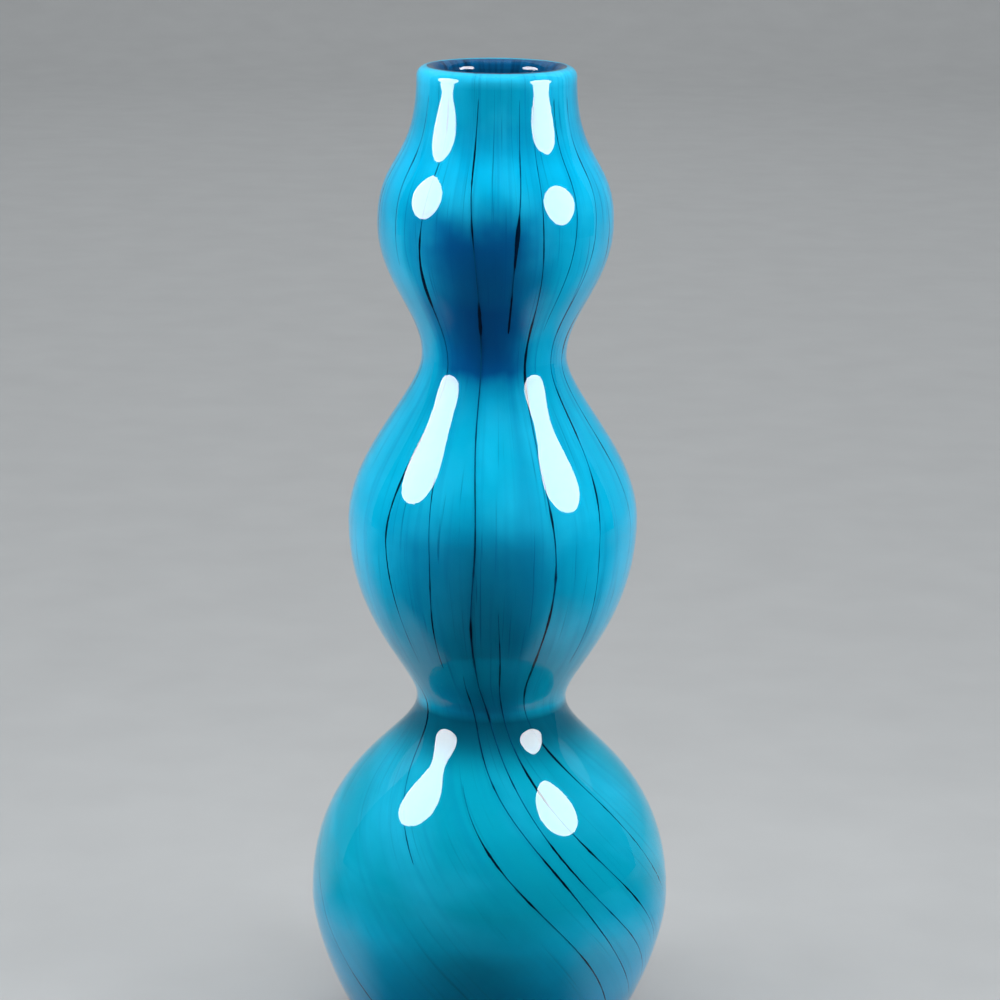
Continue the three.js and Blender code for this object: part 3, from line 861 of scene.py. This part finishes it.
def painted_shade_amount(tree, part, clouds, flat, radius):
    """How much painted shade lies under the bulbs and at the waists, in front and on the back."""
    # Painted shade where the wall faces down, away from the light from above
    normal = add(tree, "ShaderNodeTexCoord").outputs["Normal"]
    upward = add(tree, "ShaderNodeSeparateXYZ", (normal,)).outputs["Z"]
    higher = add(tree, "ShaderNodeMapRange", (part, *SHADE_HEIGHTS))
    neck = add(tree, "ShaderNodeMapRange", (part, *SHADE_NECK))
    most = add(tree, "ShaderNodeMath", (higher, neck), operation="MULTIPLY")
    stir = add(tree, "ShaderNodeMath", (clouds, STIR, -STIR / 2), operation="MULTIPLY_ADD")
    slope = add(tree, "ShaderNodeMath", (upward, stir), operation="ADD")
    levels = (slope, *SHADE_SLOPES, 0.0, most)
    under = add(tree, "ShaderNodeMapRange", levels, interpolation_type="SMOOTHSTEP")
    # Painted shade at the waists, where the bulb above shades the wall
    below = add(tree, "ShaderNodeMapRange", (part, *WAIST_SHADE_HEIGHTS, 0.0, WAIST_SHADE_MOST))
    levels = (radius, *WAIST_SHADE_RADII, 0.0, below)
    waist_shade = add(tree, "ShaderNodeMapRange", levels, interpolation_type="SMOOTHSTEP")
    depth = add(tree, "ShaderNodeMath", (under, waist_shade), operation="ADD", use_clamp=True)

    # The painted shade is strongest in front and on the back
    way = add(tree, "ShaderNodeVectorMath", (flat,), operation="NORMALIZE")
    aside = add(tree, "ShaderNodeVectorMath", (way, SHADE_PATCH_WAY), operation="DOT_PRODUCT").outputs["Value"]
    square_on = add(tree, "ShaderNodeMath", (aside,), operation="ABSOLUTE")
    faced = add(tree, "ShaderNodeMath", (stir, SHADE_PATCH_STIR, square_on), operation="MULTIPLY_ADD")
    levels = (faced, *SHADE_PATCH_FACINGS, SHADE_PATCH_LEAST, 1.0)
    shade_patch = add(tree, "ShaderNodeMapRange", levels, interpolation_type="SMOOTHSTEP")
    return add(tree, "ShaderNodeMath", (depth, shade_patch), operation="MULTIPLY")


def turquoise_colour_glass(colours):
    """Turquoise glass drawn out under the casing: azure above and teal below, clouded where it is milky and
    streaked along the way it was drawn. Painted shade darkens it where the wall faces down, at the waists
    and round the top of the lower bulb; painted light brightens the foot, the upper shoulder and the lip's
    crest."""
    material, tree = new_material("turquoise_colour_glass")
    drawn = add(tree, "ShaderNodeAttribute", attribute_name="drawn").outputs["Vector"]
    height = add(tree, "ShaderNodeSeparateXYZ", (drawn,)).outputs["Z"]
    part = add(tree, "ShaderNodeMapRange", (height, 0.0, VASE_HIGH.z))
    spot = add(tree, "ShaderNodeTexCoord").outputs["Object"]
    flat = add(tree, "ShaderNodeVectorMath", (spot, (1, 1, 0)), operation="MULTIPLY")
    radius = add(tree, "ShaderNodeVectorMath", (flat,), operation="LENGTH").outputs["Value"]

    # Layers of colour, each with how much of it shows
    clouds = add(tree, "ShaderNodeTexNoise", {"Vector": drawn, "Scale": 1 / CLOUD_WIDTH, "Detail": 3.0})
    milky = add(tree, "ShaderNodeMapRange", (clouds, *CLOUD_LEVELS, 0.0, CLOUD_MOST))
    layers = [(milky, colours.cloud_and_crest_highlight)]
    strong = add(tree, "ShaderNodeMapRange", (part, *STREAK_HEIGHTS, STREAK_LEAST, 1.0))
    for width, run, levels, share_at_most, name in STREAKS:
        waves = streaks(tree, width, run, detail=2.0, swirl=STREAK_SWIRL)
        most = add(tree, "ShaderNodeMath", (strong, share_at_most), operation="MULTIPLY")
        amount = add(tree, "ShaderNodeMapRange", (waves, *levels, 0.0, most))
        layers.append((amount, getattr(colours, name)))
    # Painted shade under the bulbs and at the waists
    layers.append((painted_shade_amount(tree, part, clouds, flat, radius), colours.painted_shade))
    # Painted shade round the top of the lower bulb, where the middle bulb hangs over it
    low = add(tree, "ShaderNodeMapRange", (part, *COLLAR_SHADE_HEIGHTS, 0.0, COLLAR_SHADE_MOST))
    levels = (radius, *COLLAR_SHADE_RADII, 0.0, low)
    ring = add(tree, "ShaderNodeMapRange", levels, interpolation_type="SMOOTHSTEP")
    layers.append((ring, colours.collar_shade))

    tone = body_colour(tree, part, colours).outputs[0]
    for amount, over in layers:
        tones = {MIX_SHARE: amount, MIX_FROM: tone, MIX_TO: over}
        tone = add(tree, "ShaderNodeMix", tones, data_type="RGBA").outputs[MIX_RESULT]
    shade(tree, {"Base Color": tone, **FUSED})
    return material


def dark_thread_glass(colours):
    """Navy glass pulled to threads and rolled in under the casing: nearly black where a thread is thick,
    and teal where it is drawn thin."""
    material, tree = new_material("dark_thread_glass")
    thick = add(tree, "ShaderNodeAttribute", attribute_name="thick").outputs["Fac"]
    spot = add(tree, "ShaderNodeTexCoord").outputs["Object"]
    mottle = add(tree, "ShaderNodeTexNoise", {"Vector": spot, "Scale": 1 / MOTTLE_WIDTH, "Detail": 2.0})
    drawn = add(tree, "ShaderNodeMath", (mottle, thick), operation="SUBTRACT")
    thin = add(tree, "ShaderNodeMapRange", (drawn, *THIN_LEVELS))
    tones = {MIX_SHARE: thin, MIX_FROM: colours.thread, MIX_TO: colours.thread_thin}
    tone = add(tree, "ShaderNodeMix", tones, data_type="RGBA").outputs[MIX_RESULT]
    shade(tree, {"Base Color": tone, **FUSED})
    return material


def inner_gather_glass(colours):
    """First gather of blown glass, coloured by the turquoise behind it and darkened as painted shade of the
    hollow: smooth and glossy inside the mouth, with the streaks showing through."""
    material, tree = new_material("inner_gather_glass")
    waves = streaks(tree, GATHER_STREAK_WIDTH, GATHER_STREAK_LENGTH, detail=3.0, swirl=0.0)
    amount = add(tree, "ShaderNodeMapRange", (waves, *GATHER_LEVELS))
    tones = {MIX_SHARE: amount, MIX_FROM: colours.gather_with_painted_shade, MIX_TO: colours.gather_deep}
    tone = add(tree, "ShaderNodeMix", tones, data_type="RGBA").outputs[MIX_RESULT]
    shade(tree, {"Base Color": tone, "Roughness": GATHER_ROUGHNESS, "IOR": GLASS_IOR})
    return material


def matt_paper(name, tone):
    """Matt background paper, whose fibre gives a faint mottle."""
    material, tree = new_material(name)
    spot = add(tree, "ShaderNodeTexCoord").outputs["Object"]
    fibre = add(tree, "ShaderNodeTexNoise", {"Vector": spot, "Scale": 1 / FIBRE_WIDTH, "Detail": 4.0})
    level = add(tree, "ShaderNodeMapRange", (fibre, 0.0, 1.0, *FIBRE_SHADES))
    mottled = add(tree, "ShaderNodeVectorMath", {0: tone[:3], "Scale": level}, operation="SCALE")
    shade(tree, {"Base Color": mottled, **MATT})
    return material


def fading_felt(studio):
    """Dark felt that fades into the pale paper at its edges."""
    material, tree = new_material("fading_felt")
    part = add(tree, "ShaderNodeAttribute", attribute_name="felt").outputs["Fac"]
    soft = add(tree, "ShaderNodeMapRange", (part, 0.0, 1.0), interpolation_type="SMOOTHSTEP")
    tones = {MIX_SHARE: soft, MIX_FROM: studio.floor, MIX_TO: studio.felt}
    tone = add(tree, "ShaderNodeMix", tones, data_type="RGBA").outputs[MIX_RESULT]
    shade(tree, {"Base Color": tone, **MATT})
    return material


# Studio


def stage_object(name, points, faces, material):
    """A mesh of the stage."""
    mesh = bpy.data.meshes.new(name)
    mesh.from_pydata(points, [], faces)
    mesh.materials.append(material)
    piece = linked(name, mesh)
    return piece


def on_ring(radius, turn, height):
    """The point at a radius, a turn from the front and a height."""
    return (radius * math.sin(turn), -radius * math.cos(turn), height)


def make_floor(studio):
    """A round sweep of pale paper: a floor that rises to a wall far from the vase."""
    profile = [(FLOOR_CENTRE, -FLOOR_DROP), (FLOOR_RADIUS, -FLOOR_DROP)]
    for step in range(1, BEND_STEPS + 1):
        turn = math.pi / 2 * step / BEND_STEPS
        profile.append((FLOOR_RADIUS + FLOOR_BEND * math.sin(turn), FLOOR_BEND * (1 - math.cos(turn))))
    profile.append((FLOOR_RADIUS + FLOOR_BEND, WALL_TOP))
    turns = [FULL_TURN * side / FLOOR_SIDES for side in range(FLOOR_SIDES)]
    points = [on_ring(radius, turn, height) for radius, height in profile for turn in turns]
    faces = [list(range(FLOOR_SIDES))]
    for row in range(len(profile) - 1):
        for side in range(FLOOR_SIDES):
            a = row * FLOOR_SIDES + side
            b = row * FLOOR_SIDES + (side + 1) % FLOOR_SIDES
            faces.append((a + FLOOR_SIDES, b + FLOOR_SIDES, b, a))
    floor = stage_object("floor", points, faces, matt_paper("pale_paper", studio.floor))
    floor.data.shade_smooth()


def show_in_glass_only(piece):
    """Only what mirrors or refracts the piece sees it."""
    piece.visible_camera = False
    piece.visible_shadow = False
    piece.visible_diffuse = False


def make_screen(studio):
    """A dark screen on three sides that keeps the front of the vase deep, as a dark room does."""
    left, right = -SCREEN_SIDE, SCREEN_SIDE
    corners = ((left, SCREEN_BACK), (left, SCREEN_FRONT), (right, SCREEN_FRONT), (right, SCREEN_BACK))
    points = [(x, y, z) for x, y in corners for z in (0, SCREEN_TOP)]
    faces = [(i, i + 1, i + 3, i + 2) for i in (0, 2, 4)]
    show_in_glass_only(stage_object("dark_screen", points, faces, matt_paper("dark_felt", studio.felt)))


def make_cloth(studio):
    """A dark cloth on the floor that fades out towards both sides, sooner near the vase."""
    points, felts = [], []
    for radius, left, right, least in CLOTH_ROWS:
        for step in range(CLOTH_STEPS + 1):
            degrees = CLOTH_SPAN * (2 * step / CLOTH_STEPS - 1)
            points.append(on_ring(radius, math.radians(degrees), CLOTH_HEIGHT))
            # Half dark at an edge
            inner = 0.5 + min(degrees - left, right - degrees) / CLOTH_FADE
            outer = 0.5 + (CLOTH_EDGE - abs(degrees)) / CLOTH_FADE
            felts.append(max(inner, min(least, outer)))
    columns = CLOTH_STEPS + 1
    corners = [row * columns + step for row in range(len(CLOTH_ROWS) - 1) for step in range(CLOTH_STEPS)]
    faces = [(i, i + columns, i + columns + 1, i + 1) for i in corners]
    cloth = stage_object("dark_cloth", points, faces, fading_felt(studio))
    cloth.data.attributes.new("felt", "FLOAT", "POINT").data.foreach_set("value", felts)
    show_in_glass_only(cloth)


def make_lamp(name, spot, aim, width, height, radiance):
    """A softbox with an oval face that looks at its aim."""
    lamp = bpy.data.lights.new(name, "AREA")
    lamp.shape = "ELLIPSE"
    lamp.size = width
    lamp.size_y = height
    # Power is radiance times pi times the oval's area
    lamp.energy = radiance * math.pi * math.pi / 4 * width * height
    softbox = linked(name, lamp)
    softbox.location = spot
    softbox.rotation_mode = "QUATERNION"
    softbox.rotation_quaternion = (aim - spot).to_track_quat("-Z", "Y")
    # The casing casts no shadow, so light that went through it as well would count twice
    softbox.visible_transmission = False
    softbox.visible_camera = False
    return softbox


def make_lamps(studio):
    """Two softboxes, one on either side of the vase, light that comes up beside it, and wide lamps over it
    and over the background."""
    aim = Vector((0, 0, studio.target_height))
    face = studio.lamp_width, studio.lamp_height
    sides = (
        ("left_lamp", studio.left_azimuth, studio.left_elevation),
        ("right_lamp", studio.right_azimuth, studio.right_elevation),
    )
    for name, azimuth, elevation in sides:
        way = Vector(on_ring(1, azimuth, math.tan(elevation))).normalized()
        spot = aim + way * studio.lamp_distance
        lamp = make_lamp(name, spot, aim, *face, studio.lamp_radiance)
        lamp.visible_glossy = False
        shine = make_lamp(f"{name}_shine", spot - way * SHINE_OFFSET, aim, *face, studio.shine_radiance)
        shine.visible_diffuse = False
    for name, side in (("left_bounce", -1), ("right_bounce", 1)):
        spot = Vector((side * studio.bounce_distance, 0, BOUNCE_HEIGHT))
        above = spot + Vector((0, 0, 1))
        width = studio.bounce_width
        bounce = make_lamp(name, spot, above, width, width, studio.bounce_radiance)
        bounce.visible_glossy = False
    wide = (
        ("top_lamp", -studio.top_front, studio.top_height, studio.top_width, studio.top_radiance),
        ("back_lamp", studio.back_behind, studio.back_height, studio.back_width, studio.back_radiance),
    )
    for name, behind, height, width, radiance in wide:
        lamp = make_lamp(name, Vector((0, behind, height)), Vector((0, behind, 0)), width, width, radiance)
        lamp.visible_glossy = False


def make_world(scene, studio):
    """Even, weak light from all round."""
    world = bpy.data.worlds.new("studio_light")
    world.use_nodes = True
    tree = world.node_tree
    tree.nodes.clear()
    light = add(tree, "ShaderNodeBackground", {"Color": studio.world, "Strength": studio.world_strength})
    add(tree, "ShaderNodeOutputWorld", {"Surface": light})
    scene.world = world


def make_camera(scene, studio):
    """The camera, in front of the vase and a little above it."""
    data = bpy.data.cameras.new("camera")
    data.lens = studio.lens
    data.sensor_width = SENSOR_WIDTH_MM
    camera = linked("camera", data)
    way = Vector((0, -math.cos(studio.elevation), math.sin(studio.elevation)))
    camera.location = Vector((studio.target_right, 0, studio.target_height)) + way * studio.distance
    camera.rotation_mode = "QUATERNION"
    lean = Quaternion((0, 0, 1), studio.roll)
    camera.rotation_quaternion = (-way).to_track_quat("-Z", "Y") @ lean
    scene.camera = camera


# Operators


class VASE_OT_clear_casing(bpy.types.Operator):
    """Make the clear casing that turns over the lip and ends in the ground foot"""

    bl_idname = "vase.clear_casing"
    bl_label = "Clear Casing"

    def execute(self, context):
        scene = context.scene
        material = clear_casing_glass(scene.vase_colours)
        piece = turned_piece(scene, "casing_of_clear_glass", casing_profile(scene.vase_outline), material)
        # Light reaches the colour through the casing
        piece.visible_shadow = False
        own(piece, "clear_glass", "clear_casing")
        return {"FINISHED"}


class VASE_OT_colour_layer(bpy.types.Operator):
    """Make the turquoise colour layer under the casing"""

    bl_idname = "vase.colour_layer"
    bl_label = "Colour Layer"

    def execute(self, context):
        scene = context.scene
        material = turquoise_colour_glass(scene.vase_colours)
        piece = turned_piece(scene, "layer_of_turquoise_glass", colour_profile(scene.vase_outline), material)
        own(piece, "turquoise_glass", "colour_layer")
        return {"FINISHED"}


class VASE_OT_inner_gather(bpy.types.Operator):
    """Make the first gather, which lines the hollow"""

    bl_idname = "vase.inner_gather"
    bl_label = "Inner Gather"

    def execute(self, context):
        scene = context.scene
        material = inner_gather_glass(scene.vase_colours)
        piece = turned_piece(scene, "first_gather", gather_profile(scene.vase_outline), material)
        own(piece, "inner_glass", "inner_gather")
        return {"FINISHED"}


class VASE_OT_dark_threads(bpy.types.Operator):
    """Make the dark threads, drawn down the colour layer and twisted with it"""

    bl_idname = "vase.dark_threads"
    bl_label = "Dark Threads"

    def execute(self, context):
        scene = context.scene
        size, threads = scene.vase_outline, scene.vase_threads
        curves = outline_curves(size)
        tree = tree_named("Drawn Thread", drawn_thread_tree)
        values = {
            "Sides": threads.sides,
            "Thin Share": threads.thin_share,
            "Thick Length": threads.thick_length,
            "Material": dark_thread_glass(scene.vase_colours),
        }
        for index in range(len(THREADS)):
            points, across, outward = zip(*thread_path(curves, size, threads, index))
            piece = line_object(f"thread_{index + 1:02d}", points, {"across": across, "outward": outward})
            bake_tree(piece, tree, size, values)
            own(piece, "dark_glass", f"dark_thread_{index + 1:02d}")
        return {"FINISHED"}


class VASE_OT_studio(bpy.types.Operator):
    """Make the floor, the screen, the cloth, the lamps and the camera"""

    bl_idname = "vase.studio"
    bl_label = "Studio"

    def execute(self, context):
        scene = context.scene
        studio = scene.vase_studio
        make_floor(studio)
        make_screen(studio)
        make_cloth(studio)
        make_lamps(studio)
        make_world(scene, studio)
        make_camera(scene, studio)
        scene.view_settings.view_transform = "Standard"
        return {"FINISHED"}


OPERATORS = (
    VASE_OT_clear_casing,
    VASE_OT_colour_layer,
    VASE_OT_inner_gather,
    VASE_OT_dark_threads,
    VASE_OT_studio,
)


class VASE_PT_panel(bpy.types.Panel):
    """Sizes, colours and steps of the vase"""

    bl_idname = "VASE_PT_panel"
    bl_label = "Triple Gourd Vase"
    bl_space_type = "VIEW_3D"
    bl_region_type = "UI"
    bl_category = "Vase"

    def draw(self, context):
        for operator in OPERATORS:
            self.layout.operator(operator.bl_idname)
        for group, kind in GROUPS.items():
            box = self.layout.box()
            for name in kind.__annotations__:
                box.prop(getattr(context.scene, group), name)


CLASSES = (*GROUPS.values(), *OPERATORS, VASE_PT_panel)


def register():
    for kind in CLASSES:
        bpy.utils.register_class(kind)
    for group, kind in GROUPS.items():
        setattr(bpy.types.Scene, group, PointerProperty(type=kind))


def unregister():
    for group in GROUPS:
        delattr(bpy.types.Scene, group)
    for kind in reversed(CLASSES):
        bpy.utils.unregister_class(kind)


def main():
    """Makes every piece and the studio."""
    register()
    bpy.ops.vase.studio()
    bpy.ops.vase.inner_gather()
    bpy.ops.vase.colour_layer()
    bpy.ops.vase.dark_threads()
    bpy.ops.vase.clear_casing()


if __name__ == "__main__":
    main()
